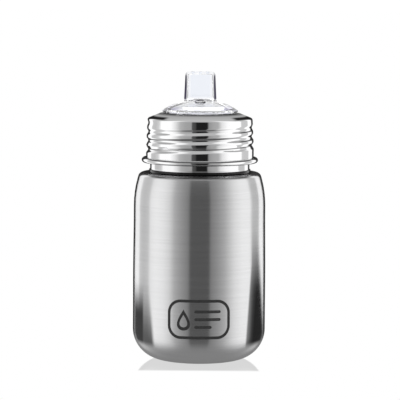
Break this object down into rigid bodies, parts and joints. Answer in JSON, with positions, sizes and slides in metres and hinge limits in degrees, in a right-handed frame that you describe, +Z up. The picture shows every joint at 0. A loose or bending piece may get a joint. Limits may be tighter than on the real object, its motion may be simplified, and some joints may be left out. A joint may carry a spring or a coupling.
{
  "type": "sippy cup",
  "caption": "Small stainless steel bottle with a polished screw collar that clamps a clear domed spout with a slit valve and a vented dome.",
  "frame": {"origin": "centre of the standing ring, on the surface the cup stands on", "axes": "+Z up the cup's axis; -Y is the front, the side of the air vent, with the spout's broad side facing it"},
  "size_m": [0.066, 0.066, 0.1435],
  "materials": {
    "brushed_body": "stainless steel, brushed round the axis",
    "polished_neck": "bare stainless steel, mirror polished",
    "brushed_base": "stainless steel, satin",
    "polished_collar": "bare stainless steel, mirror polished",
    "clear_spout": "clear copolyester with a slight cool tint",
    "seal_silicone": "milky food-grade silicone",
    "valve_silicone": "translucent food-grade silicone"
  },
  "bodies": {
    "bottle": {"bottle_body": "brushed_body", "neck_ring": "polished_neck", "base_plate": "brushed_base"},
    "spout_unit": {"spout": "clear_spout", "sealing_ring": "seal_silicone", "flow_valve": "valve_silicone", "vent_valve": "valve_silicone"},
    "collar": {"screw_collar": "polished_collar"}
  },
  "joints": [
    {"name": "lid_lift", "type": "slide", "parent": "bottle", "child": "spout_unit", "axis": [0, 0, 1], "range_m": [0, 0.0133]},
    {"name": "collar_turn", "type": "hinge", "parent": "spout_unit", "child": "collar", "pos_m": [0, 0, 0.11], "axis": [0, 0, 1], "range_deg": [0, 1080]}
  ],
  "couplings": [
    {"joint": "lid_lift", "follows": "collar_turn", "m_per_rad": 0.00070028}
  ]
}
